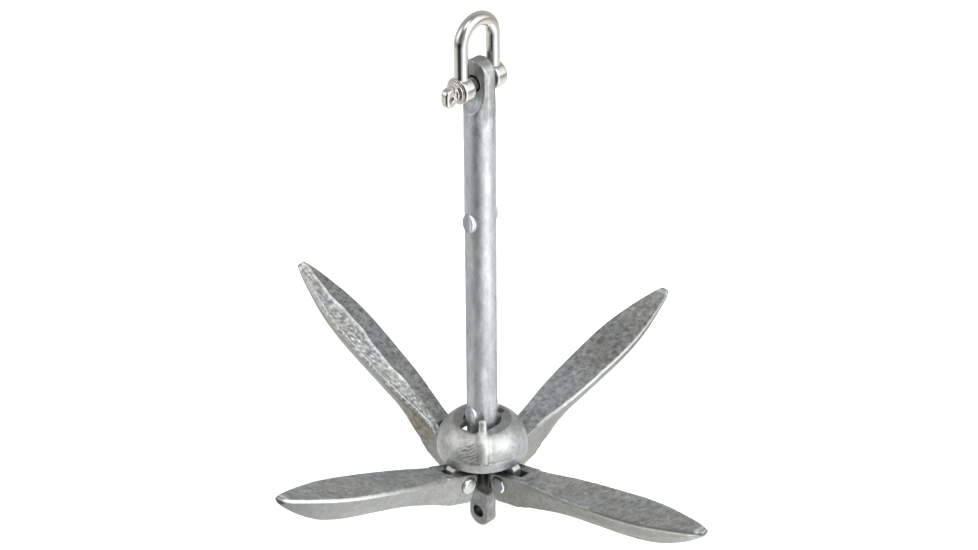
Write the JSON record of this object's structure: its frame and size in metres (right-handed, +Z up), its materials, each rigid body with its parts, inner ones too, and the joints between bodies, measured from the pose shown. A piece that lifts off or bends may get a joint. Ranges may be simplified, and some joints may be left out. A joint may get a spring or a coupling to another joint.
{
  "type": "folding grapnel anchor",
  "caption": "Folding grapnel boat anchor with hinged flukes, a sliding lock collar on a round shank, a trip eye below and a D-shackle on top.",
  "frame": {"origin": "centre of the trip eye in the crown's lug", "axes": "+Z up the shank towards the shackle, +X along the trip eye's bore and the shackle pin; the flukes open along +X, -X, +Y and -Y"},
  "size_m": [0.328, 0.3231, 0.3406],
  "materials": {
    "galvanised_casting": "hot-dip galvanised, mottled",
    "galvanised_shank": "hot-dip galvanised, semi-gloss",
    "rivet_steel": "galvanised",
    "shackle_steel": "bright plated"
  },
  "bodies": {
    "shackle": {"shackle_bow": "shackle_steel", "shackle_pin": "shackle_steel"},
    "anchor": {"shank": "galvanised_shank", "crown": "galvanised_casting"},
    "collar": {"lock_collar": "galvanised_casting"},
    "fluke_left": {"fluke_left": "galvanised_casting", "rivet_left": "rivet_steel"},
    "fluke_front": {"fluke_front": "galvanised_casting", "rivet_front": "rivet_steel"},
    "fluke_right": {"fluke_right": "galvanised_casting", "rivet_right": "rivet_steel"},
    "fluke_back": {"fluke_back": "galvanised_casting", "rivet_back": "rivet_steel"}
  },
  "joints": [
    {"name": "shackle_swing", "type": "hinge", "parent": "shackle", "child": "anchor", "pos_m": [0, 0, 0.289], "axis": [1, 0, 0], "range_deg": [-100, 100]},
    {"name": "collar_slide", "type": "slide", "parent": "anchor", "child": "collar", "axis": [0, 0, 1], "range_m": [0, 0.165]},
    {"name": "fluke_left_fold", "type": "hinge", "parent": "anchor", "child": "fluke_left", "pos_m": [-0.0215, 0, 0.033], "axis": [0, 1, 0], "range_deg": [0, 68.1]},
    {"name": "fluke_front_fold", "type": "hinge", "parent": "anchor", "child": "fluke_front", "pos_m": [0, -0.0215, 0.033], "axis": [-1, 0, 0], "range_deg": [0, 77.7]},
    {"name": "fluke_right_fold", "type": "hinge", "parent": "anchor", "child": "fluke_right", "pos_m": [0.0215, 0, 0.033], "axis": [0, -1, 0], "range_deg": [0, 74.4]},
    {"name": "fluke_back_fold", "type": "hinge", "parent": "anchor", "child": "fluke_back", "pos_m": [0, 0.0215, 0.033], "axis": [1, 0, 0], "range_deg": [0, 62]}
  ],
  "couplings": [
    {"joint": "fluke_left_fold", "follows": "collar_slide", "rad_per_m": 7.2034},
    {"joint": "fluke_front_fold", "follows": "collar_slide", "rad_per_m": 8.2189},
    {"joint": "fluke_right_fold", "follows": "collar_slide", "rad_per_m": 7.8698},
    {"joint": "fluke_back_fold", "follows": "collar_slide", "rad_per_m": 6.5582}
  ]
}
